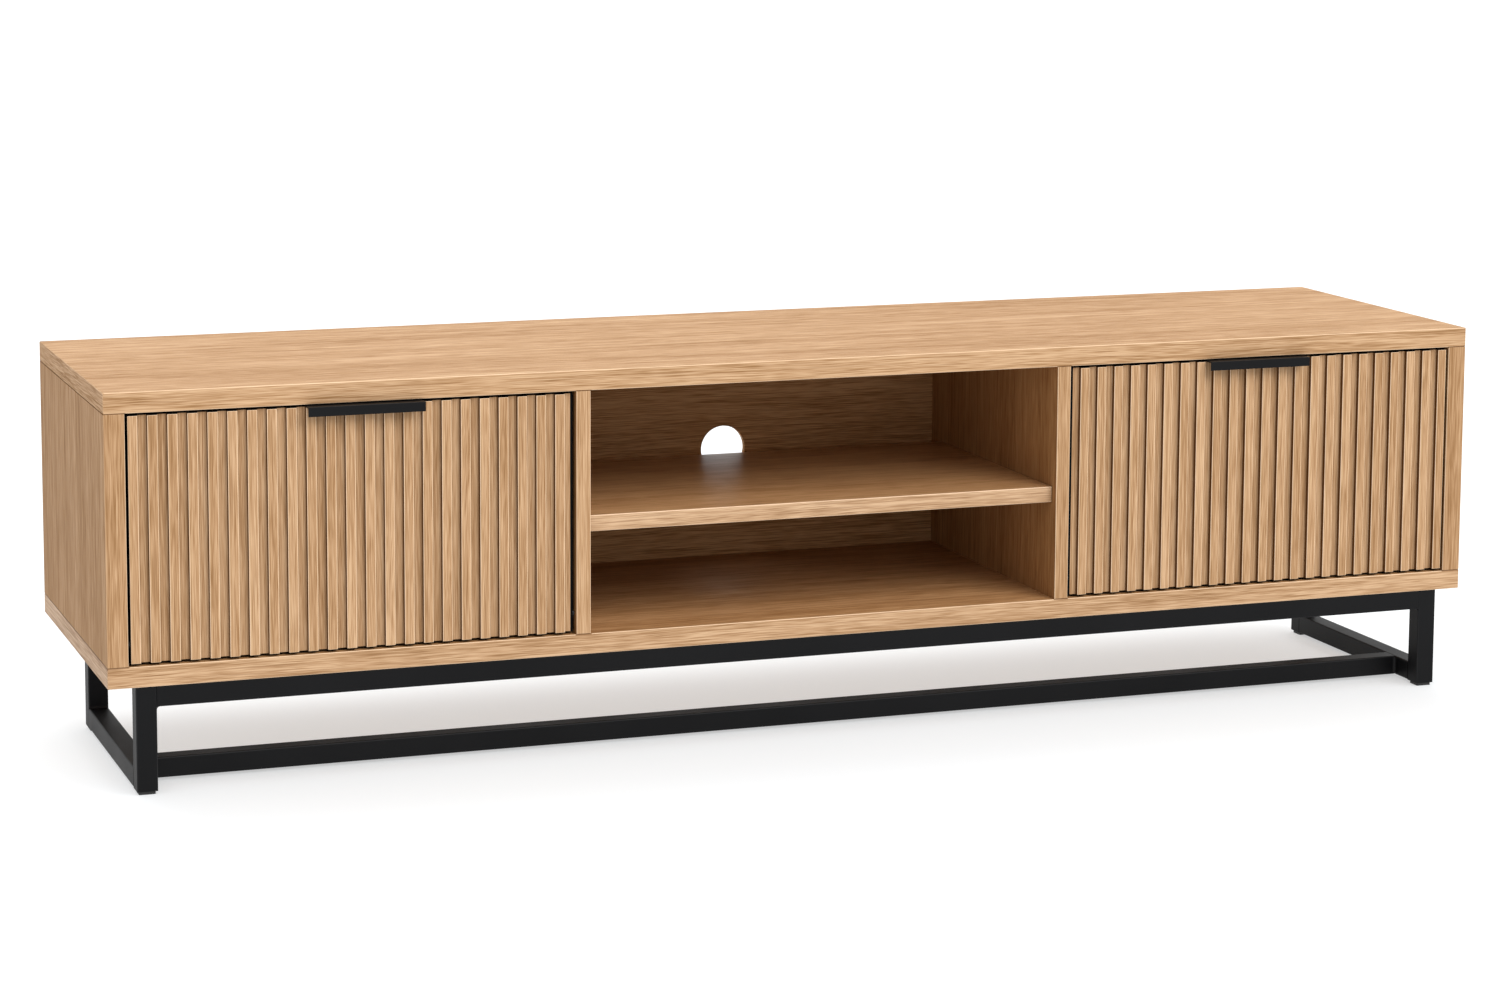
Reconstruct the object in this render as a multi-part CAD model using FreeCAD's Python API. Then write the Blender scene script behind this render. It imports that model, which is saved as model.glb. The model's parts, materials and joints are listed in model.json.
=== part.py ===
import FreeCAD, Part
import math
import os

# Low media cabinet: an oak-look carcass with an open middle bay, two slatted
# drop-down flaps and a black square-tube base.  Millimetres, +Z up, front faces -Y.
# The origin is on the floor, at the centre of the whole outline.

V = FreeCAD.Vector

# ---- driving dimensions -------------------------------------------------------
CABINET_W, CABINET_D, CARCASS_H = 1800.0, 450.0, 350.0
OUTER_BOARD = 25.0            # top, bottom and sides
PARTITION_T = 18.0
SHELF_T = 20.0
BACK_T = 8.0
BAY_W = 620.0                 # clear width of the open middle bay
BACK_FACE = 408.0             # front of the cabinet to the face of the back panels
SHELF_TOP = 169.0             # above the underside of the carcass
SHELF_SETBACK, SHELF_CABLE_GAP = 12.0, 30.0
CABLE_HOLE_R, CABLE_HOLE_X, CABLE_HOLE_Z = 31.0, 5.0, 170.0

TUBE, TUBE_WALL, TUBE_R = 25.0, 1.5, 2.0
FRAME_H, FOOT_H = 126.0, 4.0
FRAME_INSET, FRAME_SETBACK, FRAME_D = 33.0, 2.0, 350.0
STRETCHER_SETBACK = 60.0      # front of the cabinet to the front of the stretcher

SIDE_GAP, END_GAP = 3.0, 3.0  # shadow gap round each flap
FLAP_SETBACK = 1.0            # slat faces sit this far behind the carcass front
SLATS, SLAT_W, SLAT_T = 23, 12.0, 6.0
FLAP_BOARD_T = 12.0

HANDLE_L, HANDLE_T, HANDLE_LIP, HANDLE_TAIL = 142.0, 1.5, 11.5, 22.0
HANDLE_PROJECTION = 14.0      # lip face to carcass front
HANDLE_X = 590.0

HINGE_Y, HINGE_Z = 10.5, 50.0  # pivot line, from the carcass front and underside
PIVOT_R, BUSH_R, FIT = 2.0, 3.0, 0.05
STAY_REACH, STAY_PIVOT_Y, STAY_ANGLE = 150.0, 28.0, 50.0

# ---- derived places -----------------------------------------------------------
FRONT = HANDLE_PROJECTION - (CABINET_D + HANDLE_PROJECTION) / 2
BASE = FRAME_H + FOOT_H                       # underside of the carcass
FLOOR_IN, CEILING_IN = OUTER_BOARD, CARCASS_H - OUTER_BOARD
SIDE_IN = CABINET_W / 2 - OUTER_BOARD         # inner face of each side panel
BAY_X = BAY_W / 2
CELL_X = BAY_X + PARTITION_T                  # partition face in the flap cell
FLAP_X0, FLAP_X1 = CELL_X + SIDE_GAP, SIDE_IN - SIDE_GAP
FLAP_Z0, FLAP_Z1 = FLOOR_IN + END_GAP, CEILING_IN - END_GAP
BOARD_Y0 = FLAP_SETBACK + SLAT_T
BOARD_Y1 = BOARD_Y0 + FLAP_BOARD_T
FRAME_X = CABINET_W / 2 - FRAME_INSET
STAY_R = math.hypot(STAY_PIVOT_Y - HINGE_Y, STAY_REACH)


# ---- helpers: x is across, y back from the carcass front, z up from its underside --
def box(x0, x1, y0, y1, z0, z1):
    return Part.makeBox(x1 - x0, y1 - y0, z1 - z0, V(x0, FRONT + y0, BASE + z0))


def rod(radius, length, x, y, z, direction):
    return Part.makeCylinder(radius, length, V(x, FRONT + y, BASE + z), V(*direction))


def cone(radius0, radius1, length, x, y, z, direction):
    return Part.makeCone(radius0, radius1, length, V(x, FRONT + y, BASE + z), V(*direction))


def spun(shape, angle, y, z):
    """Turns a shape about the line through (y, z) along X; positive lifts +Y towards +Z."""
    shape.rotate(V(0, FRONT + y, BASE + z), V(1, 0, 0), angle)
    return shape


def cut(shape, tools):
    return shape.cut(Part.makeCompound(tools)) if tools else shape


def mirrored(shape):
    return shape.mirror(V(0, 0, 0), V(1, 0, 0))


def eased(shape, radius, axis):
    """Rounds the straight edges that run along one axis ('x', 'y' or 'z')."""
    chosen = []
    for edge in shape.Edges:
        a, b = edge.Vertexes[0].Point, edge.Vertexes[-1].Point
        spans = {"x": abs(a.x - b.x), "y": abs(a.y - b.y), "z": abs(a.z - b.z)}
        if spans[axis] > 1.0 and sum(spans.values()) - spans[axis] < 1e-6:
            chosen.append(edge)
    return shape.makeFillet(radius, chosen)


def eased_all(shape, radius):
    """Rounds every edge of a plain board."""
    return shape.makeFillet(radius, shape.Edges)


def eased_front(shape, radius):
    """Rounds only the edges that lie in the front face of a board."""
    front = shape.BoundBox.YMin
    chosen = [e for e in shape.Edges if abs(e.BoundBox.YMax - front) < 1e-6]
    return shape.makeFillet(radius, chosen)


NODES = {}


def node(name, *solids):
    NODES[name] = solids[0] if len(solids) == 1 else Part.makeCompound(list(solids))


def pair(name, right_solids):
    """Names a right-hand group and its mirror image on the left."""
    node("right_" + name, *right_solids)
    node("left_" + name, *[mirrored(s) for s in right_solids])


def both_sides(shapes):
    return list(shapes) + [mirrored(s) for s in shapes]


# ---- carcass joinery: cams, bolts and dowels -----------------------------------
CAM_R, CAM_DEPTH, CAM_REACH, BOLT_R, BOLT_GRIP, BOLT_INSET = 7.5, 12.5, 34.0, 3.0, 11.0, 8.0
DOWEL_R, DOWEL_L = 4.0, 30.0
CAM_PLACES, DOWEL_PLACES = (110.0, 340.0), (50.0, 225.0)


def upright_joints():
    """Every cam joint on the right half: the bolt's x, the cam's open face and its y."""
    for bolt_x, face, into in ((SIDE_IN + BOLT_INSET, SIDE_IN, 1), (CELL_X - BOLT_INSET, CELL_X, -1)):
        for y in CAM_PLACES:
            yield bolt_x, face, into, y


def dowel_sites():
    for x in (SIDE_IN + OUTER_BOARD / 2, BAY_X + PARTITION_T / 2):
        for y in DOWEL_PLACES:
            yield x, y


def joint_ends():
    """The two ends of an upright: joint plane z and the direction into the flat board."""
    return ((FLOOR_IN, -1), (CEILING_IN, 1))


def flat_board_holes(upwards):
    plane = CEILING_IN if upwards else FLOOR_IN
    into = 1 if upwards else -1
    holes = [rod(BOLT_R + FIT, BOLT_GRIP + 1, x, y, plane, (0, 0, into))
             for x, _, _, y in upright_joints()]
    holes += [rod(DOWEL_R + FIT, DOWEL_L / 2 - 2, x, y, plane, (0, 0, into))
              for x, y in dowel_sites()]
    return both_sides(holes)


def upright_holes(inner_face):
    holes = []
    for bolt_x, face, into, y in upright_joints():
        if face != inner_face:
            continue
        for plane, out in joint_ends():
            cam_z = plane - out * CAM_REACH
            holes.append(rod(BOLT_R + 0.5, CAM_REACH, bolt_x, y, plane, (0, 0, -out)))
            holes.append(rod(CAM_R + FIT, CAM_DEPTH + FIT, face, y, cam_z, (into, 0, 0)))
    for x, y in dowel_sites():
        if (x > SIDE_IN) == (inner_face == SIDE_IN):
            for plane, out in joint_ends():
                holes.append(rod(DOWEL_R + FIT, DOWEL_L / 2 + 2, x, y, plane, (0, 0, -out)))
    return holes


def make_joinery():
    cams, bolts, dowels = [], [], []
    for bolt_x, face, into, y in upright_joints():
        for plane, out in joint_ends():
            cam_z = plane - out * CAM_REACH
            cam = rod(CAM_R, CAM_DEPTH, face, y, cam_z, (into, 0, 0))
            mouth = rod(BOLT_R + 1.2, CAM_R + 4, bolt_x, y, cam_z - out * 3.5, (0, 0, out))
            slots = [box(face - 1.4, face + 1.4, y - w, y + w, cam_z - h, cam_z + h)
                     for w, h in ((4.0, 0.8), (0.8, 4.0))]
            cams.append(cut(cam, [mouth] + slots))
            shank = rod(BOLT_R, BOLT_GRIP, bolt_x, y, plane, (0, 0, out))
            neck = rod(BOLT_R - 1, CAM_REACH - 2, bolt_x, y, plane, (0, 0, -out))
            head = rod(BOLT_R, 3.0, bolt_x, y, plane - out * (CAM_REACH - 2), (0, 0, -out))
            collar = rod(BOLT_R, 6.0, bolt_x, y, plane, (0, 0, -out))
            bolts.append(shank.fuse([neck, head, collar]).removeSplitter())
    for x, y in dowel_sites():
        for plane, out in joint_ends():
            start = plane - out * DOWEL_L / 2
            peg = rod(DOWEL_R, DOWEL_L - 4, x, y, start, (0, 0, out))
            dowels.append(peg.makeChamfer(0.8, [e for e in peg.Edges if e.Length > 20 and len(e.Vertexes) == 1]))
    node("cam_locks", *both_sides(cams))
    node("cam_bolts", *both_sides(bolts))
    node("dowels", *both_sides(dowels))


# ---- carcass -------------------------------------------------------------------
ARRIS = 1.2
GROOVE_DEPTH, GROOVE_PLAY = 8.0, 0.1
INSERT_R, INSERT_L, FRAME_SCREW_R = 4.5, 13.0, 3.0
FRAME_SCREW_X = (0.0, 430.0, 800.0)


def back_groove():
    return box(-SIDE_IN - GROOVE_DEPTH, SIDE_IN + GROOVE_DEPTH,
               BACK_FACE - GROOVE_PLAY, BACK_FACE + BACK_T + GROOVE_PLAY,
               FLOOR_IN - GROOVE_DEPTH, CEILING_IN + GROOVE_DEPTH)


def rail_screw_places():
    for rail_y in (FRAME_SETBACK + TUBE / 2, FRAME_SETBACK + FRAME_D - TUBE / 2):
        for x in FRAME_SCREW_X:
            yield x, rail_y
            if x:
                yield -x, rail_y


def make_flat_boards():
    half = CABINET_W / 2
    top = eased_all(box(-half, half, 0, CABINET_D, CEILING_IN, CARCASS_H), ARRIS)
    catch_holes = [rod(1.2, 8, x, CATCH_SCREW_Y, CEILING_IN, (0, 0, 1))
                   for x in (CATCH_X - CATCH_SCREW_DX, CATCH_X + CATCH_SCREW_DX)]
    node("top_panel", cut(top, [back_groove()] + flat_board_holes(True) + both_sides(catch_holes)))
    bottom = eased_all(box(-half, half, 0, CABINET_D, 0, FLOOR_IN), ARRIS)
    inserts = [rod(INSERT_R + FIT, INSERT_L, x, y, 0, (0, 0, 1)) for x, y in rail_screw_places()]
    node("bottom_panel", cut(bottom, [back_groove()] + flat_board_holes(False) + inserts))


def make_uprights():
    side = eased_all(box(SIDE_IN, CABINET_W / 2, 0, CABINET_D, FLOOR_IN, CEILING_IN), ARRIS)
    pivot = rod(PIVOT_R + FIT, PIVOT_SEAT, SIDE_IN, HINGE_Y, HINGE_Z, (1, 0, 0))
    base_y, base_z = stay_anchor()
    pilots = [rod(1.2, 10, SIDE_IN, base_y, base_z + dz, (1, 0, 0)) for dz in (-STAY_SCREW_DZ, STAY_SCREW_DZ)]
    pair("side_panel", [cut(side, [back_groove(), pivot] + pilots + upright_holes(SIDE_IN))])
    partition = box(BAY_X, CELL_X, 0, BACK_FACE - GROOVE_PLAY, FLOOR_IN, CEILING_IN)
    partition = eased_front(partition, ARRIS)
    pivot = rod(PIVOT_R + FIT, PIVOT_SEAT, CELL_X, HINGE_Y, HINGE_Z, (-1, 0, 0))
    pins = [rod(PIN_R + FIT, PIN_SEAT, BAY_X, y, PIN_Z, (1, 0, 0)) for y in PIN_PLACES]
    screws = [rod(BACK_SCREW_R + FIT, 18, x, BACK_FACE + 1, z, (0, -1, 0)) for x, z in back_screw_places()]
    pair("partition", [cut(partition, [pivot] + pins + screws + upright_holes(CELL_X))])


# ---- shelf on four spoon pins ---------------------------------------------------
PIN_R, PIN_SEAT, PIN_FLANGE_R, PIN_FLANGE_T = 2.5, 9.0, 4.0, 1.2
PIN_Z = SHELF_TOP - SHELF_T - 2.6
PIN_PLACES = (50.0, 320.0)
SHELF_PLAY = 1.0


def make_shelf():
    half = BAY_X - SHELF_PLAY
    board = box(-half, half, SHELF_SETBACK, BACK_FACE - SHELF_CABLE_GAP, SHELF_TOP - SHELF_T, SHELF_TOP)
    board = eased(board, ARRIS, "x")
    recess = [box(BAY_X - 3, BAY_X, y - 5, y + 5, SHELF_TOP - SHELF_T, SHELF_TOP - SHELF_T + 3)
              for y in PIN_PLACES]
    node("shelf", cut(board, both_sides(recess)))
    pins = []
    for y in PIN_PLACES:
        stud = rod(PIN_R, PIN_SEAT - 0.5, BAY_X, y, PIN_Z, (1, 0, 0))
        flange = rod(PIN_FLANGE_R, PIN_FLANGE_T, BAY_X - PIN_FLANGE_T, y, PIN_Z, (1, 0, 0))
        spoon = box(BAY_X - 9, BAY_X - 1, y - 4, y + 4, PIN_Z - 1.4, PIN_Z + 2.6)
        spoon = eased(spoon, 1.0, "z")
        pins.append(stud.fuse([flange, spoon]).removeSplitter())
    node("shelf_pins", *both_sides(pins))


# ---- three back panels in one groove --------------------------------------------
SEAM_PLAY, BACK_SCREW_R = 0.3, 1.6


def back_screw_places():
    seam = BAY_X + PARTITION_T / 2
    for x in (seam - 4.5, seam + 4.5):
        for z in (70.0, 175.0, 280.0):
            yield x, z


def make_back():
    seam = BAY_X + PARTITION_T / 2
    z0, z1 = FLOOR_IN - GROOVE_DEPTH + 0.5, CEILING_IN + GROOVE_DEPTH - 0.5
    y0, y1 = BACK_FACE, BACK_FACE + BACK_T
    sinks = [screw_solid(3.0, BACK_SCREW_R, 14, x, y1, z, (0, -1, 0), 0.1) for x, z in back_screw_places()]
    outer = box(seam + SEAM_PLAY, SIDE_IN + GROOVE_DEPTH - 0.5, y0, y1, z0, z1)
    outer = cut(outer, sinks)
    node("back_panel_right", outer)
    node("back_panel_left", mirrored(outer))
    centre = box(-seam + SEAM_PLAY, seam - SEAM_PLAY, y0, y1, z0, z1)
    hole = rod(CABLE_HOLE_R, BACK_T + 2, CABLE_HOLE_X, y0 - 1, CABLE_HOLE_Z, (0, 1, 0))
    node("back_panel_centre", cut(centre, [hole] + both_sides(sinks)))
    screws = [screw_solid(3.0, BACK_SCREW_R, 24, x, y1 - 0.1, z, (0, -1, 0)) for x, z in back_screw_places()]
    node("back_panel_screws", *both_sides(screws))


def screw_solid(head_r, shank_r, length, x, y, z, direction, play=0.0):
    """A countersunk wood screw, head flush at (x, y, z), pointing along direction."""
    rise = head_r - shank_r
    head = cone(head_r + play, shank_r + play, rise, x, y, z, direction)
    shank = rod(shank_r + play, length, x, y, z, direction)
    if play:
        return head.fuse(shank).removeSplitter()
    drive_size = 0.62 * head_r
    start = [c * -0.05 for c in direction]
    slots = []
    for wide, tall in ((drive_size, 0.25 * head_r), (0.25 * head_r, drive_size)):
        tool = Part.makeBox(2 * wide, 2 * tall, 1.1, V(-wide, -tall, 0))
        tool.Placement = FreeCAD.Placement(
            V(x + start[0], FRONT + y + start[1], BASE + z + start[2]),
            FreeCAD.Rotation(V(0, 0, 1), V(*direction)))
        slots.append(tool)
    return cut(head.fuse(shank).removeSplitter(), slots)


# ---- tube base -------------------------------------------------------------------
PLUG_INSERT, PLUG_DEPTH, FOOT_INSET = 10.9, 16.0, 2.5
BEAD = 4.0


def tube(x0, x1, y0, y1, z0, z1, axis):
    outer = eased(box(x0, x1, y0, y1, z0, z1), TUBE_R, axis)
    grow = {"x": (1, 0, 0), "y": (0, 1, 0), "z": (0, 0, 1)}[axis]
    inset = [TUBE_WALL if g == 0 else -1.0 for g in grow]
    inner = box(x0 + inset[0], x1 - inset[0], y0 + inset[1], y1 - inset[1], z0 + inset[2], z1 - inset[2])
    return outer.cut(inner)


def make_base_frame():
    low, rail_top = -FRAME_H, -FRAME_H + TUBE
    x0, x1 = FRAME_X - TUBE, FRAME_X
    f0, f1 = FRAME_SETBACK, FRAME_SETBACK + TUBE
    r1 = FRAME_SETBACK + FRAME_D
    r0 = r1 - TUBE
    pair("front_leg", [tube(x0, x1, f0, f1, low, 0, "z")])
    pair("rear_leg", [tube(x0, x1, r0, r1, low, 0, "z")])
    pair("side_rail", [tube(x0, x1, f1, r0, low, rail_top, "y")])
    for name, y0 in (("front_top_rail", f0), ("rear_top_rail", r0)):
        rail = tube(-x0, x0, y0, y0 + TUBE, -TUBE, 0, "x")
        holes = []
        for x, y in rail_screw_places():
            if y0 < y < y0 + TUBE:
                holes.append(rod(FRAME_SCREW_R + 0.2, TUBE, x, y, -TUBE / 2, (0, 0, 1)))
                holes.append(rod(6.0, TUBE / 2, x, y, -TUBE - 1, (0, 0, 1)))
        node(name, cut(rail, holes))
    s0 = STRETCHER_SETBACK
    node("stretcher", tube(-x0, x0, s0, s0 + TUBE, low, rail_top, "x"))
    make_beads(x0, (f0, r0), s0, low, rail_top, f1, r0)
    make_feet(x0, x1, (f0, r0), low)
    make_frame_fasteners()


def bead(x, y, z, along, length, sx, sy, sz):
    """A concave weld bead in the corner at (x, y, z); the zero sign is its long axis."""
    signs = {"x": sx, "y": sy, "z": sz}
    lo, hi, centre = {}, {}, {}
    for name, at in (("x", x), ("y", y), ("z", z)):
        if name == along:
            lo[name], hi[name], centre[name] = at, at + length, at - 1
        else:
            step = signs[name] * BEAD
            lo[name], hi[name] = min(at, at + step), max(at, at + step)
            centre[name] = at + step
    block = box(lo["x"], hi["x"], lo["y"], hi["y"], lo["z"], hi["z"])
    axis = {"x": (1, 0, 0), "y": (0, 1, 0), "z": (0, 0, 1)}[along]
    return block.cut(rod(BEAD, length + 2, centre["x"], centre["y"], centre["z"], axis))


def make_beads(x0, leg_fronts, s0, low, rail_top, f1, r0):
    width = TUBE - 2 * TUBE_R
    beads = [bead(x0, y + TUBE_R, -TUBE, "y", width, -1, 0, -1) for y in leg_fronts]
    beads += [bead(x0 + TUBE_R, y, rail_top, "x", width, 0, sy, 1) for y, sy in ((f1, 1), (r0, -1))]
    beads += [bead(x0, y, low + TUBE_R, "z", width, -1, sy, 0) for y, sy in ((s0, -1), (s0 + TUBE, 1))]
    node("weld_beads", *both_sides(beads))


def make_feet(x0, x1, leg_fronts, low):
    feet = []
    middle_x = (x0 + x1) / 2
    for y in leg_fronts:
        pad = box(x0 + FOOT_INSET, x1 - FOOT_INSET, y + FOOT_INSET, y + TUBE - FOOT_INSET,
                  low - FOOT_H, low)
        pad = eased(pad, TUBE_R, "z")
        middle_y = y + TUBE / 2
        core = box(middle_x - PLUG_INSERT, middle_x + PLUG_INSERT,
                   middle_y - PLUG_INSERT, middle_y + PLUG_INSERT, low, low + PLUG_DEPTH)
        well = box(middle_x - 8, middle_x + 8, middle_y - 8, middle_y + 8, low + 2, low + PLUG_DEPTH + 1)
        feet.append(pad.fuse(core.cut(well)).removeSplitter())
    node("foot_plugs", *both_sides(feet))


def make_frame_fasteners():
    screws, inserts = [], []
    seat = -TUBE_WALL
    for x, y in rail_screw_places():
        head = rod(5.2, 3.2, x, y, seat - 3.2, (0, 0, 1))
        socket = rod(2.2, 2.4, x, y, seat - 3.3, (0, 0, 1))
        shank = rod(FRAME_SCREW_R, TUBE_WALL + INSERT_L - 1, x, y, seat, (0, 0, 1))
        screws.append(cut(head.fuse(shank).removeSplitter(), [socket]))
        sleeve = rod(INSERT_R, INSERT_L, x, y, 0, (0, 0, 1))
        inserts.append(sleeve.cut(rod(FRAME_SCREW_R + FIT, INSERT_L + 2, x, y, -1, (0, 0, 1))))
    node("frame_screws", *screws)
    node("threaded_inserts", *inserts)


# ---- flaps -----------------------------------------------------------------------
PIVOT_SEAT, BUSH_L, BUSH_FLANGE_R, BUSH_FLANGE_T = 12.0, 10.0, 4.5, 0.8
STRIKE_L, STRIKE_H, STRIKE_T, STRIKE_DROP = 36.0, 12.0, 1.5, 3.0
CATCH_X, CATCH_L, CATCH_D, CATCH_H, CATCH_SCREW_DX = 710.0, 30.0, 15.0, 14.0, 19.0
CATCH_AIR = 0.3
CATCH_Y0 = BOARD_Y1 + STRIKE_T + CATCH_AIR
CATCH_SCREW_Y = CATCH_Y0 + CATCH_D / 2
EAR_S0, EAR_S1, ARM_S0, ARM_S1 = 10.3, 12.3, 7.8, 9.8   # in from the side panel's face
RIVET_R = 2.5


def flap_side_x(outer):
    return FLAP_X1 if outer else FLAP_X0


def make_flaps():
    board = box(FLAP_X0, FLAP_X1, BOARD_Y0, BOARD_Y1, FLAP_Z0, FLAP_Z1)
    bores = [rod(BUSH_R + FIT, BUSH_L + 1, FLAP_X1, HINGE_Y, HINGE_Z, (-1, 0, 0)),
             rod(BUSH_R + FIT, BUSH_L + 1, FLAP_X0, HINGE_Y, HINGE_Z, (1, 0, 0))]
    bores += [rod(1.3, 9, x, BOARD_Y1, z, (0, -1, 0)) for x, z in handle_screw_places()]
    bores += [rod(1.3, 9, x, BOARD_Y1, z, (0, -1, 0)) for x, z in fitting_screw_places()]
    pair("flap_board", [cut(board, bores)])

    pitch = (FLAP_X1 - FLAP_X0) / SLATS
    slats = []
    for i in range(SLATS):
        x1 = FLAP_X1 - i * pitch
        slat = box(x1 - SLAT_W, x1, FLAP_SETBACK, BOARD_Y0, FLAP_Z0, FLAP_Z1)
        slats.append(eased_front(slat, ARRIS))
    pair("flap_slats", slats)

    bushes, pins = [], []
    for x, inwards in ((FLAP_X1, -1), (FLAP_X0, 1)):
        sleeve = rod(BUSH_R, BUSH_L, x, HINGE_Y, HINGE_Z, (inwards, 0, 0))
        flange = rod(BUSH_FLANGE_R, BUSH_FLANGE_T, x, HINGE_Y, HINGE_Z, (-inwards, 0, 0))
        bore = rod(PIVOT_R + FIT, BUSH_L + 4, x - 2 * inwards, HINGE_Y, HINGE_Z, (inwards, 0, 0))
        bushes.append(sleeve.fuse(flange).removeSplitter().cut(bore))
        start = x - inwards * (SIDE_GAP + PIVOT_SEAT - 0.5)
        length = PIVOT_SEAT - 0.5 + SIDE_GAP + BUSH_L - 0.5
        pin = rod(PIVOT_R, length, start, HINGE_Y, HINGE_Z, (inwards, 0, 0))
        pins.append(pin.makeChamfer(0.4, [e for e in pin.Edges if len(e.Vertexes) == 1]))
    pair("flap_bushes", bushes)
    node("hinge_pins", *both_sides(pins))


def handle_screw_places():
    z = FLAP_Z1 - HANDLE_TAIL / 2
    return [(HANDLE_X + dx, z) for dx in (-HANDLE_L / 2 + 22, HANDLE_L / 2 - 22)]


def fitting_screw_places():
    strike_z = FLAP_Z1 - STRIKE_DROP - STRIKE_H / 2
    plate_x = SIDE_IN - 24
    pivot_z = HINGE_Z + STAY_REACH
    return [(CATCH_X, strike_z), (plate_x, pivot_z - 8), (plate_x, pivot_z + 8)]


def make_handles():
    x0, x1 = HANDLE_X - HANDLE_L / 2, HANDLE_X + HANDLE_L / 2
    top = FLAP_Z1 + HANDLE_T
    cap = box(x0, x1, -HANDLE_PROJECTION, BOARD_Y1 + HANDLE_T, FLAP_Z1, top)
    lip = box(x0, x1, -HANDLE_PROJECTION, -HANDLE_PROJECTION + HANDLE_T, top - HANDLE_LIP, top)
    tail = box(x0, x1, BOARD_Y1, BOARD_Y1 + HANDLE_T, FLAP_Z1 - HANDLE_TAIL, top)
    profile = cap.fuse([lip, tail]).removeSplitter()
    profile = eased_front(profile, 0.5)
    holes = [rod(2.0, HANDLE_T + 2, x, BOARD_Y1 - 1, z, (0, 1, 0)) for x, z in handle_screw_places()]
    pair("handle", [cut(profile, holes)])
    pair("handle_screws", [pan_screw(3.4, 1.25, 8.5, x, BOARD_Y1 + HANDLE_T, z, (0, -1, 0))
                           for x, z in handle_screw_places()])


def pan_screw(head_r, shank_r, length, x, y, z, direction):
    """A pan-head screw whose head sits on the surface at (x, y, z)."""
    back = [-c for c in direction]
    head = rod(head_r, 1.8, x, y, z, back)
    rim = [e for e in head.Edges if len(e.Vertexes) == 1 and is_far(e, x, y, z)]
    head = head.makeFillet(0.9, rim)
    shank = rod(shank_r, length, x, y, z, direction)
    body = head.fuse(shank).removeSplitter()
    slots = []
    for wide, tall in ((0.55 * head_r, 0.16 * head_r), (0.16 * head_r, 0.55 * head_r)):
        tool = Part.makeBox(2 * wide, 2 * tall, 1.4, V(-wide, -tall, 0))
        tool.Placement = FreeCAD.Placement(
            V(x + back[0] * 0.9, FRONT + y + back[1] * 0.9, BASE + z + back[2] * 0.9),
            FreeCAD.Rotation(V(0, 0, 1), V(*back)))
        slots.append(tool)
    return cut(body, slots)


def is_far(edge, x, y, z):
    """True for the rim of a screw head that faces away from its seat."""
    return (edge.CenterOfMass - V(x, FRONT + y, BASE + z)).Length > 1.0


# ---- magnetic catches ---------------------------------------------------------------
def make_catches():
    z1 = FLAP_Z1 - STRIKE_DROP
    strike = box(CATCH_X - STRIKE_L / 2, CATCH_X + STRIKE_L / 2, BOARD_Y1, BOARD_Y1 + STRIKE_T,
                 z1 - STRIKE_H, z1)
    strike = eased(strike, 2.0, "y")
    site = fitting_screw_places()[0]
    strike = cut(strike, [screw_solid(2.4, 1.2, 6, site[0], BOARD_Y1 + STRIKE_T, site[1], (0, -1, 0), 0.1)])
    pair("strike_plate", [strike])

    y0, y1 = CATCH_Y0, CATCH_Y0 + CATCH_D
    body = eased(box(CATCH_X - CATCH_L / 2, CATCH_X + CATCH_L / 2, y0, y1, CEILING_IN - CATCH_H, CEILING_IN),
                 1.0, "z")
    wings = eased(box(CATCH_X - CATCH_L / 2 - 9, CATCH_X + CATCH_L / 2 + 9, y0 + 2, y1 - 2,
                      CEILING_IN - 2.5, CEILING_IN), 2.5, "z")
    pocket = box(CATCH_X - 11, CATCH_X + 11, y0 - 1, y0 + 9, CEILING_IN - CATCH_H + 2, CEILING_IN - 4)
    screw_x = (CATCH_X - CATCH_SCREW_DX, CATCH_X + CATCH_SCREW_DX)
    bores = [rod(1.7, 4, x, CATCH_SCREW_Y, CEILING_IN - 3.5, (0, 0, 1)) for x in screw_x]
    housing = cut(body.fuse(wings).removeSplitter(), [pocket] + bores)
    node("catch_housings", *both_sides([housing]))
    magnet = box(CATCH_X - 10.9, CATCH_X + 10.9, y0 + 0.2, y0 + 8.9,
                 CEILING_IN - CATCH_H + 2.1, CEILING_IN - 4.1)
    node("catch_magnets", *both_sides([magnet]))
    screws = [pan_screw(2.8, 1.15, 9, x, CATCH_SCREW_Y, CEILING_IN - 2.5, (0, 0, 1)) for x in screw_x]
    node("catch_screws", *both_sides(screws))


# ---- sliding-arm stays ----------------------------------------------------------------
# The flap pivot, the arm's pivot on the flap and the guide's pivot on the side panel make
# two equal legs, so the arm turns through exactly half the flap's angle and always lies
# through the guide.
ARM_HALF_W, GUIDE_HALF_L, GUIDE_HALF_H = 6.0, 10.0, 10.0
STAY_SCREW_DZ = 17.0
STOP_R = 4.0


def stay_anchor():
    """Where the guide turns on the side panel: as far from the hinge as the arm's pivot is."""
    angle = math.radians(STAY_ANGLE)
    return HINGE_Y + STAY_R * math.sin(angle), HINGE_Z + STAY_R * math.cos(angle)


def inward(s):
    return SIDE_IN - s


def rest_angle():
    """The arm's slope at rest, in degrees above +Y, seen along +X."""
    y, z = stay_anchor()
    return math.degrees(math.atan2(z - (HINGE_Z + STAY_REACH), y - STAY_PIVOT_Y))


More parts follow.
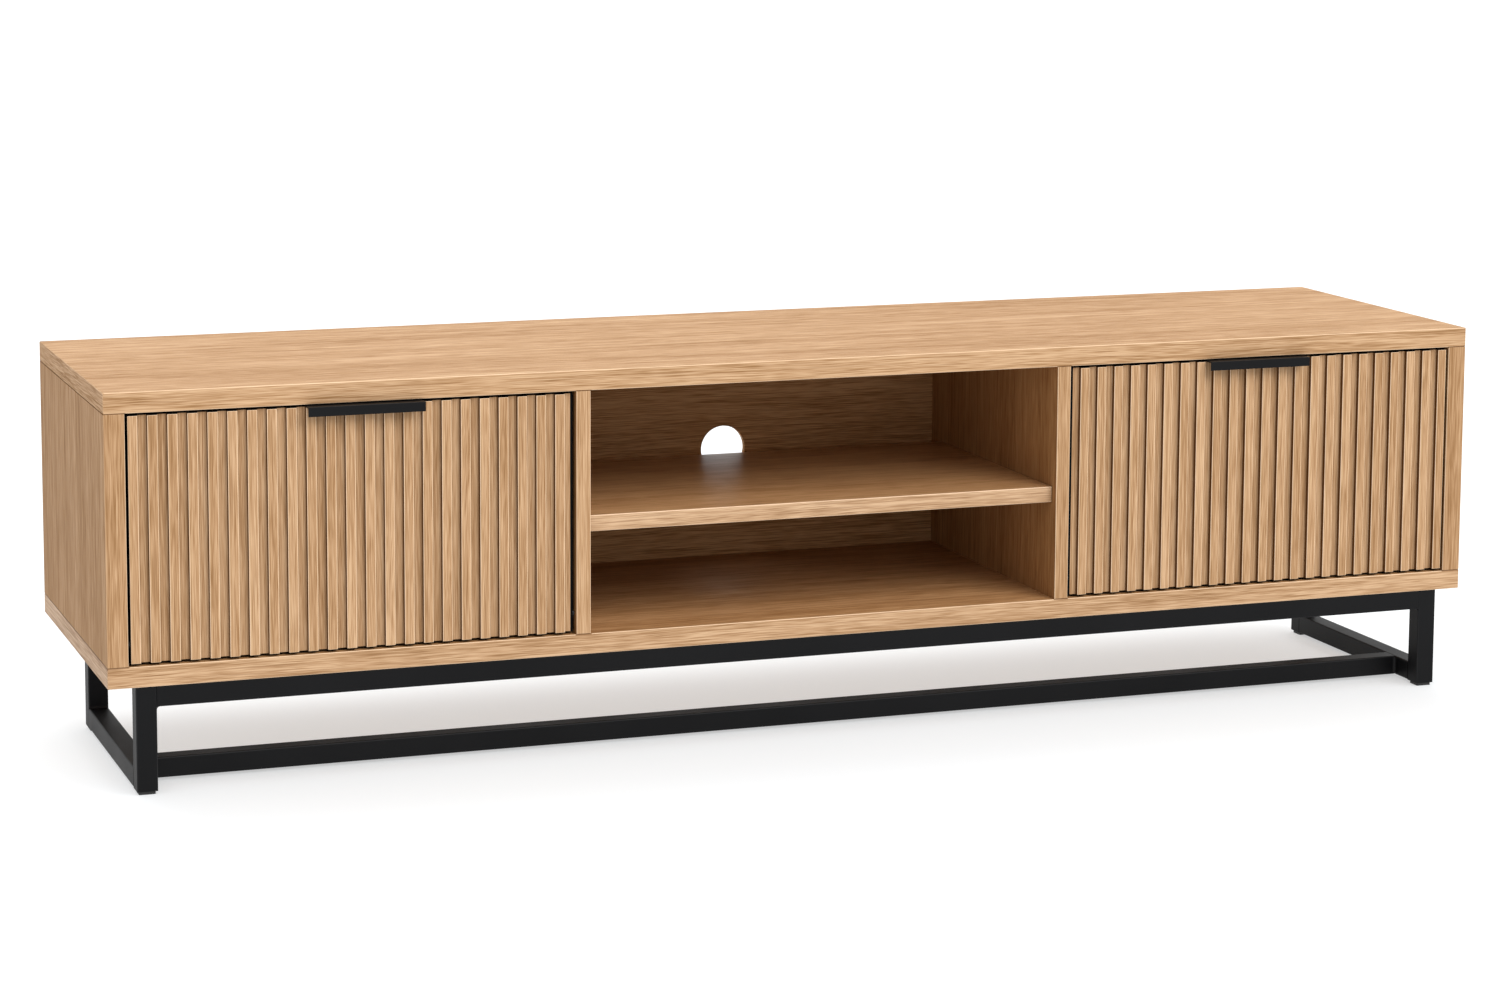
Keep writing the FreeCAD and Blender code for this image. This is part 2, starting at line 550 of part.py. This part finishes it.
def make_stays():
    pivot_y, pivot_z = STAY_PIVOT_Y, HINGE_Z + STAY_REACH
    anchor_y, anchor_z = stay_anchor()
    swing = math.atan2(STAY_PIVOT_Y - HINGE_Y, STAY_REACH)
    open_span = 2 * STAY_R * math.sin((math.radians(STAY_ANGLE) - swing + math.pi / 2) / 2)
    stop_at = open_span + GUIDE_HALF_L + STOP_R + 0.7
    arm_end = stop_at + ARM_HALF_W

    bar = box(inward(ARM_S1), inward(ARM_S0), pivot_y - ARM_HALF_W, pivot_y + arm_end,
              pivot_z - ARM_HALF_W, pivot_z + ARM_HALF_W)
    bar = eased(bar, ARM_HALF_W - 0.2, "x")
    eye = rod(RIVET_R + FIT, 4, inward(ARM_S1 + 1), pivot_y, pivot_z, (1, 0, 0))
    stop_eye = rod(RIVET_R + FIT, 4, inward(ARM_S1 + 1), pivot_y + stop_at, pivot_z, (1, 0, 0))
    arm = spun(cut(bar, [eye, stop_eye]), rest_angle(), pivot_y, pivot_z)
    pair("stay_arm", [arm])
    shank = rod(RIVET_R, ARM_S1 - ARM_S0, inward(ARM_S1), pivot_y + stop_at, pivot_z, (1, 0, 0))
    heads = [rod(STOP_R, 1.2, inward(s), pivot_y + stop_at, pivot_z, (1, 0, 0)) for s in (ARM_S1 + 1.2, ARM_S0)]
    pair("stay_stop", [spun(shank.fuse(heads).removeSplitter(), rest_angle(), pivot_y, pivot_z)])

    block = box(inward(12.0), inward(2.5), anchor_y - GUIDE_HALF_L, anchor_y + GUIDE_HALF_L,
                anchor_z - GUIDE_HALF_H, anchor_z + GUIDE_HALF_H)
    block = eased(block, 3.0, "x")
    slot = box(inward(ARM_S1 + 0.3), inward(ARM_S0 - 0.3), anchor_y - GUIDE_HALF_L - 1,
               anchor_y + GUIDE_HALF_L + 1, anchor_z - ARM_HALF_W - 0.3, anchor_z + ARM_HALF_W + 0.3)
    socket = rod(3.0 + FIT, 3.8, inward(6.2), anchor_y, anchor_z, (1, 0, 0))
    pair("stay_guide", [spun(cut(block, [slot, socket]), rest_angle(), anchor_y, anchor_z)])

    plate = eased(box(inward(2.0), inward(0), anchor_y - 10, anchor_y + 10,
                      anchor_z - STAY_SCREW_DZ - 7, anchor_z + STAY_SCREW_DZ + 7), 5.0, "x")
    post = rod(3.0, 4.0, inward(6.0), anchor_y, anchor_z, (1, 0, 0))
    bores = [rod(1.8, 4, inward(3), anchor_y, anchor_z + dz, (1, 0, 0)) for dz in (-STAY_SCREW_DZ, STAY_SCREW_DZ)]
    pair("stay_base", [cut(plate.fuse(post).removeSplitter(), bores)])
    base_screws = [pan_screw(3.0, 1.15, 11, inward(2.0), anchor_y, anchor_z + dz, (1, 0, 0))
                   for dz in (-STAY_SCREW_DZ, STAY_SCREW_DZ)]
    node("stay_base_screws", *both_sides(base_screws))

    foot = eased(box(inward(34), inward(EAR_S0), BOARD_Y1, BOARD_Y1 + 2, pivot_z - 14, pivot_z + 14), 2.0, "y")
    ear = box(inward(EAR_S1), inward(EAR_S0), BOARD_Y1, pivot_y, pivot_z - 8, pivot_z + 8)
    nose = rod(8.0, EAR_S1 - EAR_S0, inward(EAR_S1), pivot_y, pivot_z, (1, 0, 0))
    bores = [rod(1.8, 4, x, BOARD_Y1 - 1, z, (0, 1, 0)) for x, z in fitting_screw_places()[1:]]
    bores.append(rod(RIVET_R + FIT, 4, inward(EAR_S1 + 1), pivot_y, pivot_z, (1, 0, 0)))
    pair("stay_bracket", [cut(foot.fuse([ear, nose]).removeSplitter(), bores)])
    shank = rod(RIVET_R, EAR_S1 - 7.4, inward(EAR_S1), pivot_y, pivot_z, (1, 0, 0))
    heads = [rod(4.5, 1.2, inward(s), pivot_y, pivot_z, (1, 0, 0)) for s in (EAR_S1 + 1.2, 7.4)]
    pair("stay_rivet", [shank.fuse(heads).removeSplitter()])

    strike_site, low_site, high_site = fitting_screw_places()
    screws = [screw_solid(2.4, 1.2, 9, strike_site[0], BOARD_Y1 + STRIKE_T - 0.1, strike_site[1], (0, -1, 0))]
    screws += [pan_screw(3.0, 1.2, 9, x, BOARD_Y1 + 2, z, (0, -1, 0)) for x, z in (low_site, high_site)]
    pair("fitting_screws", screws)


make_joinery()
make_flat_boards()
make_uprights()
make_shelf()
make_back()
make_base_frame()
make_flaps()
make_handles()
make_catches()
make_stays()

os.makedirs("parts", exist_ok=True)
for name, shape in NODES.items():
    if not shape.isValid() or not shape.Solids:
        raise RuntimeError("node %s is not a valid solid" % name)
    shape.exportStep("parts/%s.step" % name)
print("%d nodes, %d solids" % (len(NODES), sum(len(s.Solids) for s in NODES.values())))
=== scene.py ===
"""Looks of the media cabinet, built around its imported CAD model. Metres, +Z up, the front faces -Y.

Every visible piece is a CAD node, which gets a procedural material. The only mesh added is the floor.
"""

import json
import math

import bpy
from mathutils import Euler, Matrix, Vector


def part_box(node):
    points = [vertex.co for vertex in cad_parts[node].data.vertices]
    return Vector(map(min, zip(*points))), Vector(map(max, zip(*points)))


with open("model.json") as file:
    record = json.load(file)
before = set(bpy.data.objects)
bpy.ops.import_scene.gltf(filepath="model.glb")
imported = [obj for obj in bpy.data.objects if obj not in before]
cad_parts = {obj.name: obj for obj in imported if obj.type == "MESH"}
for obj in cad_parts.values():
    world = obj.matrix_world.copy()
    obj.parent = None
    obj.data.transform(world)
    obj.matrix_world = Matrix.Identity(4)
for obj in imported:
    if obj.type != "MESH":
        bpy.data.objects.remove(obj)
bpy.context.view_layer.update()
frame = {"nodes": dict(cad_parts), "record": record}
NODES = frame["nodes"]
SLOT_OF = {part["node"]: part["material_slot"] for part in frame["record"]["subparts"]}

# Camera at the photograph's viewing angle. Its turns are in degrees, its lens and sensor in millimetres.
CAMERA_PLACE = (-1.6325, -4.4081, 1.1400)
CAMERA_YAW, CAMERA_PITCH, CAMERA_ROLL = 20.02, 7.45, 0.29
CAMERA_LENS, CAMERA_SENSOR = 88.21, 36
CAMERA_SHIFT_Y = -0.1333
CAMERA_CLIP_END = 200

# Oak colours. The first three are the grain, from its darkest streak to its lightest.
OAK_DARK = (0.250, 0.132, 0.056, 1)
OAK_MID = (0.395, 0.236, 0.124, 1)
OAK_LIGHT = (0.520, 0.340, 0.200, 1)
OAK_PORE = (0.230, 0.120, 0.052, 1)
# Next a painted highlight for rounded edges, painted shade for joints and the sides of slats, and black
# painted shade for the gap around each flap.
OAK_EDGE_HIGHLIGHT = (0.860, 0.640, 0.440, 1)
OAK_GROOVE_SHADE = (0.095, 0.034, 0.006, 1)
GAP_SHADE_BLACK = (0.004, 0.004, 0.004, 1)
# Painted shade on the faces inside the carcass, which makes them warmer and darker, most on the upright
# faces: these multiply the oak.
INSIDE_FLAT_SHADE = (0.97, 0.85, 0.69, 1)
INSIDE_UPRIGHT_SHADE = (0.78, 0.63, 0.45, 1)

# The grain's layers, broad to fine: features per metre along and across the grain, and weight.
GRAIN_LAYERS = (
    ((0.9, 15, 15), 0.40),
    ((2.2, 85, 85), 0.45),
    ((6.0, 320, 320), 0.45),
    ((12, 600, 600), 0.75),
    ((28, 1100, 1100), 1.20),
)
GRAIN_ROUGHNESS = 0.6
# The grain drifts sideways along the board, by up to DRIFT.
DRIFT_STRETCH, DRIFT = (1.6, 5.0, 5.0), 0.008
# Dark pores: they show where their noise passes PORE_SPAN, and cover PORE_SHARE of the grain there.
PORE_STRETCH, PORE_SPAN, PORE_SHARE = (9, 520, 520), (0.58, 0.74), 0.55
# Each node's cut of wood lies CUT_STEPS from the last one's, and its slats' cuts up to CUT_REACH apart.
CUT_STEPS, CUT_REACH = (1.73, 0.91, 2.37), 9.0

# An edge gets a painted highlight where the largest part of its normal falls from ARRIS_FLAT to
# ARRIS_ROUND.
ARRIS_FLAT, ARRIS_ROUND = 0.985, 0.85
# A slat's side is where the X part of its normal passes this span. An upright's end is the same for Z.
SLAT_SIDE_SPAN, UPRIGHT_END_SPAN = (0.78, 0.93), (0.20, 0.50)
# How fully the light edge colour covers a rounded edge as a painted highlight, and the dark groove
# colour a joint or a slat's side as painted shade.
BOARD_EDGE_HIGHLIGHT, SLAT_EDGE_HIGHLIGHT = 0.65, 0.80
JOINT_SHADE, SLAT_SIDE_SHADE = 0.6, 0.90
# Within CORNER_WIDTH of the cabinet's ends, the painted edge highlights lose this share of their
# lightness.
CORNER_LOSS, CORNER_WIDTH = 0.7, 0.002

# Each flap's slats. SLAT_TONE is how much lighter or darker than average a slat can be.
SLAT_COUNT, SLAT_WIDTH, SLAT_TONE = 23, 0.012, 0.09
# A place within SKIN of a CAD face is on it. The second width is the black painted shade, for the gap
# around a flap, that shows beside the slats.
SKIN, FLAP_SHADE_BAND = 0.0005, 0.003

# The specular level of most of the lacquer.
MATT = 0.02

# Grain direction and contrast of each oak slot.
GRAIN_OF = {
    "oak_flat_board": ("x", 1.4),
    "oak_upright_board": ("z", 1.0),
    "oak_back_board": ("x", 1.7),
    "oak_flap_board": ("z", 1.0),
    "oak_slats": ("z", 1.1),
}
# Tone and gloss of the boards that differ from the rest, whose tone is 0. A tone below 0 is darker.
LOOK_OF = {
    "left_side_panel": (-0.13, MATT),
    "right_side_panel": (-0.13, MATT),
    "back_panel_centre": (0.08, MATT),
    "shelf": (0.12, 0.35),
    "bottom_panel": (0.0, 0.15),
}


class Tree:
    """One material's node tree, added to in short calls. An input takes a value or a node's output."""

    def __init__(self, name, **constants):
        self.material = bpy.data.materials.new(name)
        self.material.use_nodes = True
        self.nodes = self.material.node_tree.nodes
        self.links = self.material.node_tree.links
        self.shader = self.nodes["Principled BSDF"]
        for socket, value in constants.items():
            self.shader.inputs[socket.replace("_", " ")].default_value = value

    def feed(self, socket, value):
        if isinstance(value, bpy.types.NodeSocket):
            self.links.new(value, socket)
        else:
            socket.default_value = value

    def shade(self, colour, roughness):
        self.feed(self.shader.inputs["Base Color"], colour)
        self.feed(self.shader.inputs["Roughness"], roughness)

    def add(self, kind, inputs, out=0, **settings):
        node = self.nodes.new("ShaderNode" + kind)
        for key, value in settings.items():
            setattr(node, key, value)
        for key, value in inputs.items():
            self.feed(node.inputs[key], value)
        return node.outputs[out]

    def math(self, operation, a, b=0.0, clamp=False):
        return self.add("Math", {0: a, 1: b}, operation=operation, use_clamp=clamp)

    def vector(self, operation, a, b=(0, 0, 0)):
        return self.add("VectorMath", {0: a, 1: b}, operation=operation)

    def parts(self, vector):
        node = self.nodes.new("ShaderNodeSeparateXYZ")
        self.feed(node.inputs[0], vector)
        return list(node.outputs)

    def combine(self, x, y, z):
        return self.add("CombineXYZ", {0: x, 1: y, 2: z})

    def noise(self, place, stretch, detail=2.0, roughness=0.5):
        """Noise whose features are 1/stretch metres long on each axis."""
        where = self.vector("MULTIPLY", place, stretch)
        inputs = {"Vector": where, "Scale": 1.0, "Detail": detail, "Roughness": roughness}
        return self.add("TexNoise", inputs)

    def span(self, value, low, high, to_low=0.0, to_high=1.0):
        return self.add("MapRange", {0: value, 1: low, 2: high, 3: to_low, 4: to_high})

    def choose(self, share, a, b):
        """Vector a where share is 0, b where it is 1."""
        return self.add("Mix", {0: share, 4: a, 5: b}, out=1, data_type="VECTOR")

    def colour(self, share, a, b, blend="MIX"):
        """Colour a where share is 0, b over it where it is 1."""
        inputs = {0: share, 6: a, 7: b}
        return self.add("Mix", inputs, out=2, data_type="RGBA", blend_type=blend)

    def ramp(self, value, *stops):
        node = self.nodes.new("ShaderNodeValToRGB")
        elements = node.color_ramp.elements
        while len(elements) < len(stops):
            elements.new(0.5)
        for element, (position, colour) in zip(elements, stops):
            element.position = position
            element.color = colour
        self.feed(node.inputs[0], value)
        return node.outputs[0]

    def bump(self, height, distance, strength):
        inputs = {"Height": height, "Strength": strength, "Distance": distance}
        self.feed(self.shader.inputs["Normal"], self.add("Bump", inputs))


def object_place(tree):
    return tree.add("TexCoord", {}, out="Object")


def object_normal_parts(tree):
    """The normal's parts along X, Y and Z, without their signs."""
    normal = tree.add("TexCoord", {}, out="Normal")
    return tree.parts(tree.vector("ABSOLUTE", normal))


def faces_x(tree, normal):
    """1 on the faces that look along X, 0 on the others."""
    return tree.span(normal[0], 0.70, 0.72)


def arris(tree, normal):
    """1 on a rounded edge, 0 on the flats beside it."""
    nx, ny, nz = normal
    largest = tree.math("MAXIMUM", tree.math("MAXIMUM", nx, ny), nz)
    return tree.span(largest, ARRIS_FLAT, ARRIS_ROUND)


def distance_from_middle(tree, value, low, high):
    """How far value is from halfway between low and high."""
    return tree.math("ABSOLUTE", tree.math("SUBTRACT", value, (low + high) / 2))


def along_grain(tree, place, normal, grain, seed):
    """The place with its first part along the grain, moved to the seed's own cut of wood."""
    x, y, z = tree.parts(place)
    if grain == "x":
        # The ends of a board along X are banded, with the grain along Y.
        ends = faces_x(tree, normal)
        run = tree.choose(ends, tree.combine(x, y, z), tree.combine(y, x, z))
    else:
        run = tree.combine(z, x, y)
    return tree.vector("ADD", run, tuple(seed * step for step in CUT_STEPS))


def slat_chance(tree, x, slats, seed):
    """A number from 0 to 1 for each slat. slats is the left edge of the first pitch, and the pitch."""
    first, pitch = slats
    number = tree.math("FLOOR", tree.math("DIVIDE", tree.math("SUBTRACT", x, first), pitch))
    inputs = {"W": tree.math("ADD", number, seed)}
    return tree.add("TexWhiteNoise", inputs, noise_dimensions="1D")


def bare_oak(tree, run, tone, contrast):
    """The wood's colour, its grain from 0, dark, to 1, light, and its pores."""
    # The whole pattern drifts sideways along the board, as growth rings do.
    drift = tree.noise(run, DRIFT_STRETCH, detail=1.0)
    sideways = tree.span(drift, 0, 1, -DRIFT, DRIFT)
    run = tree.vector("ADD", run, tree.combine(0.0, sideways, sideways))

    value = tree.math("ADD", 0.5, tone)
    for stretch, weight in GRAIN_LAYERS:
        layer = tree.noise(run, stretch, detail=1.0, roughness=GRAIN_ROUGHNESS)
        layer = tree.math("SUBTRACT", layer, 0.5)
        value = tree.math("ADD", value, tree.math("MULTIPLY", layer, weight * contrast))
    colour = tree.ramp(value, (0.10, OAK_DARK), (0.5, OAK_MID), (0.90, OAK_LIGHT))

    pores = tree.span(tree.noise(run, PORE_STRETCH, detail=1.0), *PORE_SPAN)
    colour = tree.colour(tree.math("MULTIPLY", pores, PORE_SHARE), colour, OAK_PORE)
    return colour, value, pores


def oak(name, grain, contrast, seed, front, tone, gloss, slats, flap):
    """Lacquered oak for one board, or for the slats of one flap.

    grain is the axis that the grain runs along, and seed picks the cut of wood. front is the Y of the
    front edges, which are left out of the painted shade inside. slats, as in slat_chance, gives each
    slat along X its own cut. flap is a flap's box and the width of the black painted shade, for the gap
    around the flap, that shows on this piece. Both are None where there are none.
    """
    tree = Tree(name, Specular_IOR_Level=gloss)
    place = object_place(tree)
    x, y, z = tree.parts(place)
    normal = object_normal_parts(tree)
    run = along_grain(tree, place, normal, grain, seed)
    if slats:
        chance = slat_chance(tree, x, slats, seed)
        away = tree.combine(tree.math("MULTIPLY", chance, CUT_REACH), chance, 0.0)
        run = tree.vector("ADD", run, away)
        tone = tree.span(chance, 0, 1, tone - SLAT_TONE, tone + SLAT_TONE)
    colour, value, pores = bare_oak(tree, run, tone, contrast)

    if slats:
        # Painted shade on the sides of the slats.
        sides = tree.span(normal[0], *SLAT_SIDE_SPAN, 0.0, SLAT_SIDE_SHADE)
        colour = tree.colour(sides, colour, OAK_GROOVE_SHADE)
    edge = arris(tree, normal)
    if not flap:
        # Painted shade where an upright meets the top or the bottom, in place of the painted edge
        # highlight.
        if grain == "z":
            joint = tree.span(normal[2], *UPRIGHT_END_SPAN)
        else:
            joint = joint_line(tree, x, z)
        dark = tree.math("MULTIPLY", edge, joint)
        colour = tree.colour(tree.math("MULTIPLY", dark, JOINT_SHADE), colour, OAK_GROOVE_SHADE)
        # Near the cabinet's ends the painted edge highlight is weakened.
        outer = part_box("right_side_panel")[1].x - CORNER_WIDTH
        corner = tree.math("GREATER_THAN", tree.math("ABSOLUTE", x), outer)
        no_highlight = tree.math("MAXIMUM", dark, tree.math("MULTIPLY", corner, CORNER_LOSS))
        edge = tree.math("SUBTRACT", edge, no_highlight, clamp=True)
    # Painted highlight along the rounded edges, stronger on the slats.
    painted_highlight = tree.math("MULTIPLY", edge, SLAT_EDGE_HIGHLIGHT if slats else BOARD_EDGE_HIGHLIGHT)
    colour = tree.colour(painted_highlight, colour, OAK_EDGE_HIGHLIGHT)

    if flap:
        # Black painted shade along the flap's edges, where the gap around the flap is.
        colour = tree.colour(outer_edge(tree, x, z, *flap), colour, GAP_SHADE_BLACK)
    else:
        # Painted shade on the faces inside the carcass, darker on the faces along X.
        inside_shade = tree.colour(faces_x(tree, normal), INSIDE_FLAT_SHADE, INSIDE_UPRIGHT_SHADE)
        shaded_inside = tree.colour(1.0, colour, inside_shade, "MULTIPLY")
        colour = tree.colour(inside_face(tree, x, y, z, front), colour, shaded_inside)

    # A glossier board is smoother too, and light grain is smoother than dark.
    roughness = 0.62 - 0.6 * gloss
    tree.shade(colour, tree.span(value, 0.2, 0.8, roughness, roughness - 0.10))
    tree.bump(tree.math("SUBTRACT", value, pores), distance=0.00012, strength=0.5)
    return tree.material


def joint_line(tree, x, z):
    """1 where a flat board's inner side meets the ends of the uprights."""
    spare_x, spare_z = 0.001, 0.002
    across = tree.math("ABSOLUTE", x)
    touching = 0.0
    for upright in ("right_side_panel", "right_partition"):
        low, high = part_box(upright)
        away = distance_from_middle(tree, across, low.x, high.x)
        within = tree.math("LESS_THAN", away, (high.x - low.x) / 2 + spare_x)
        touching = tree.math("ADD", touching, within)
    away = distance_from_middle(tree, z, low.z, high.z)
    level = tree.math("LESS_THAN", away, (high.z - low.z) / 2 + spare_z)
    return tree.math("MULTIPLY", touching, level)


def inside_face(tree, x, y, z, front):
    """1 on the faces inside the carcass and behind front, 0 on its outside and on the front edges."""
    left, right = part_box("left_side_panel"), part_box("right_side_panel")
    floor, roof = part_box("bottom_panel"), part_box("top_panel")
    inside = tree.math("GREATER_THAN", y, front + 3 * SKIN)
    for test, value, limit in (
        ("GREATER_THAN", x, left[1].x - SKIN),
        ("LESS_THAN", x, right[0].x + SKIN),
        ("GREATER_THAN", z, floor[1].z - SKIN),
        ("LESS_THAN", z, roof[0].z + SKIN),
    ):
        inside = tree.math("MULTIPLY", inside, tree.math(test, value, limit))
    return inside


def outer_edge(tree, x, z, flap_box, band):
    """1 on a flap's outer edges, which get black painted shade for the gap around the flap. At the left
    and right, a wider band can show from the front.
    """
    low, high = flap_box
    bands = []
    for value, start, end, width in ((x, low.x, high.x, band), (z, low.z, high.z, SKIN)):
        away = distance_from_middle(tree, value, start, end)
        bands.append(tree.math("GREATER_THAN", away, (end - start) / 2 - width))
    return tree.math("MAXIMUM", *bands)


def scaled(base, factor):
    """The opaque colour base, lighter or darker by factor."""
    return tuple(part * factor for part in base[:3]) + (1,)


def powder_coat(name, base, roughness):
    """Fine-textured black paint, with a painted highlight a little lighter along its edges."""
    edge_highlight, edge_highlight_share = (0.05, 0.05, 0.052, 1), 0.2
    tree = Tree(name, Specular_IOR_Level=0.11)
    place = object_place(tree)
    fine = tree.noise(place, (1500, 1500, 1500))
    cloud = tree.noise(place, (7, 7, 7))
    edge = arris(tree, object_normal_parts(tree))
    colour = tree.colour(tree.span(cloud, 0.3, 0.7), base, scaled(base, 1.35))
    # Painted highlight along the rounded edges.
    colour = tree.colour(tree.math("MULTIPLY", edge, edge_highlight_share), colour, edge_highlight)
    tree.shade(colour, tree.span(cloud, 0.3, 0.7, roughness - 0.04, roughness + 0.06))
    tree.bump(fine, distance=0.00008, strength=0.5)
    return tree.material


def plastic(name, base, roughness):
    """Moulded plastic with a fine spark-eroded texture."""
    tree = Tree(name)
    place = object_place(tree)
    grain = tree.noise(place, (900, 900, 900), detail=3.0)
    cloud = tree.noise(place, (40, 40, 40), detail=1.0)
    colour = tree.colour(tree.span(cloud, 0.3, 0.7), base, scaled(base, 1.15))
    tree.shade(colour, tree.span(grain, 0.3, 0.7, roughness - 0.05, roughness + 0.08))
    tree.bump(grain, distance=0.00005, strength=0.5)
    return tree.material


def metal(name, base, roughness, mottle):
    """Plated or turned metal: mottle is the size of its clouding in metres."""
    tree = Tree(name, Metallic=1.0)
    place = object_place(tree)
    cloud = tree.noise(place, (1 / mottle,) * 3, detail=3.0, roughness=0.6)
    scratch = tree.noise(place, (60, 900, 900))
    colour = tree.colour(tree.span(cloud, 0.35, 0.65), scaled(base, 0.78), base)
    tree.shade(colour, tree.span(scratch, 0.3, 0.7, roughness - 0.06, roughness + 0.10))
    tree.bump(scratch, distance=0.00003, strength=0.4)
    return tree.material


def dowel_beech(name):
    """Raw beech with short dark flecks."""
    tree = Tree(name, Specular_IOR_Level=0.3)
    fleck = tree.noise(object_place(tree), (60, 700, 700))
    colour = tree.ramp(fleck, (0.3, (0.48, 0.30, 0.17, 1)), (0.7, (0.68, 0.48, 0.30, 1)))
    tree.shade(colour, tree.span(fleck, 0.3, 0.7, 0.55, 0.7))
    tree.bump(fleck, distance=0.0001, strength=0.6)
    return tree.material


def slat_rows(node):
    """The left edge of the first pitch, and the pitch, of a flap's slats."""
    low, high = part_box(node)
    pitch = (high.x - low.x - SLAT_WIDTH) / (SLAT_COUNT - 1)
    gap = pitch - SLAT_WIDTH
    return low.x - gap / 2, pitch


def oak_for(node, kind, seed):
    """The oak of one CAD node, which gets its own cut of wood."""
    slats, flap = None, None
    if kind == "oak_slats":
        slats = slat_rows(node)
    if kind in ("oak_slats", "oak_flap_board"):
        side = node.split("_")[0]
        flap = (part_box(side + "_flap_board"), SKIN if slats else FLAP_SHADE_BAND)
    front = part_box("left_side_panel" if kind == "oak_back_board" else node)[0].y
    grain, contrast = GRAIN_OF[kind]
    tone, gloss = LOOK_OF.get(node, (0.0, MATT))
    return oak("oak_" + node, grain, contrast, seed, front, tone, gloss, slats, flap)


def make_materials():
    """Give each CAD node the material of its slot."""
    coat = (0.004, 0.004, 0.0044, 1)
    # Base colour and roughness, and for a metal the size of its clouding.
    shared = {
        "black_powder_coat": powder_coat("powder_coat", coat, 0.46),
        "black_handle": powder_coat("handle_coat", coat, 0.42),
        "black_foot_plastic": plastic("foot_plastic", (0.010, 0.010, 0.010, 1), 0.55),
        "catch_plastic": plastic("catch_plastic", (0.62, 0.60, 0.56, 1), 0.45),
        "stay_guide_plastic": plastic("guide_plastic", (0.05, 0.05, 0.052, 1), 0.4),
        "magnet_ferrite": metal("ferrite", (0.10, 0.10, 0.105, 1), 0.55, 0.002),
        "black_bush_plastic": plastic("black_nylon", (0.012, 0.012, 0.012, 1), 0.5),
        "black_zinc_pin": plastic("black_zinc", (0.015, 0.015, 0.016, 1), 0.4),
        "zinc_insert": metal("zinc_insert", (0.62, 0.60, 0.52, 1), 0.38, 0.003),
        "zinc_cam": metal("cast_zinc", (0.50, 0.51, 0.53, 1), 0.45, 0.002),
        "plated_steel_strip": metal("plated_strip", (0.60, 0.61, 0.63, 1), 0.30, 0.006),
        "nickel_shelf_pin": metal("nickel", (0.66, 0.63, 0.58, 1), 0.22, 0.004),
        "zinc_screw": metal("zinc_screw", (0.64, 0.65, 0.68, 1), 0.30, 0.002),
        "beech_dowel": dowel_beech("beech"),
    }
    for seed, (node, piece) in enumerate(sorted(NODES.items()), start=1):
        kind = SLOT_OF[node]
        material = oak_for(node, kind, seed) if kind in GRAIN_OF else shared[kind]
        for slot in piece.material_slots:
            slot.material = material


def make_stage():
    """A plain pale floor that glows a little, so that it runs on to the white background."""
    bpy.ops.mesh.primitive_plane_add(size=90)
    floor = bpy.context.object
    floor.name = "stage_floor"
    paint = (0.53, 0.55, 0.565, 1)
    tree = Tree("floor_paint", Roughness=1.0, Specular_IOR_Level=0.0, Base_Color=paint,
                Emission_Color=(1, 1, 1, 1), Emission_Strength=0.50)
    floor.data.materials.append(tree.material)
    return floor


def make_world():
    """White to look at, and an even soft light that is a little dimmer."""
    seen_strength, light_strength = 1.0, 0.90
    world = bpy.data.worlds.new("studio")
    bpy.context.scene.world = world
    world.use_nodes = True
    nodes, links = world.node_tree.nodes, world.node_tree.links
    nodes.clear()
    path = nodes.new("ShaderNodeLightPath")
    mix = nodes.new("ShaderNodeMixShader")
    output = nodes.new("ShaderNodeOutputWorld")
    links.new(path.outputs["Is Camera Ray"], mix.inputs[0])
    for socket, strength in ((1, light_strength), (2, seen_strength)):
        white = nodes.new("ShaderNodeBackground")
        white.inputs["Color"].default_value = (1, 1, 1, 1)
        white.inputs["Strength"].default_value = strength
        links.new(white.outputs[0], mix.inputs[socket])
    links.new(mix.outputs[0], output.inputs[0])


def make_sun(name, towards, spread, strength, not_on=None):
    """A far soft box in the direction towards, spread degrees across, that doesn't light not_on."""
    lamp = bpy.data.lights.new(name, "SUN")
    lamp.energy = strength
    lamp.angle = math.radians(spread)
    holder = bpy.data.objects.new(name, lamp)
    holder.rotation_euler = (-Vector(towards)).to_track_quat("-Z", "Y").to_euler()
    bpy.context.scene.collection.objects.link(holder)
    if not_on:
        left_out = bpy.data.collections.new(name + "_leaves_out")
        left_out.objects.link(not_on)
        left_out.collection_objects[0].light_linking.link_state = "EXCLUDE"
        holder.light_linking.receiver_collection = left_out


def make_camera():
    yaw, pitch = math.radians(CAMERA_YAW), math.radians(CAMERA_PITCH)
    level = Euler((math.pi / 2 - pitch, 0, -yaw)).to_matrix()
    rolled = level @ Matrix.Rotation(math.radians(CAMERA_ROLL), 3, "Z")
    camera = bpy.data.cameras.new("camera")
    camera.lens = CAMERA_LENS
    camera.sensor_width = CAMERA_SENSOR
    camera.shift_y = CAMERA_SHIFT_Y
    camera.clip_end = CAMERA_CLIP_END
    holder = bpy.data.objects.new("camera", camera)
    holder.matrix_world = Matrix.Translation(CAMERA_PLACE) @ rolled.to_4x4()
    bpy.context.scene.collection.objects.link(holder)
    bpy.context.scene.camera = holder


make_materials()
floor = make_stage()
make_world()
# The key lights the front, and would cast the wrong shadow on the floor, so it leaves the floor out.
make_sun("key", (0.28, -0.62, 0.55), 36, 1.7, not_on=floor)
make_sun("fill", (0.20, -0.50, 0.60), 60, 0.8)
make_sun("back", (0.05, 0.62, 0.76), 55, 1.5)
make_camera()
bpy.context.scene.view_settings.view_transform = "Standard"
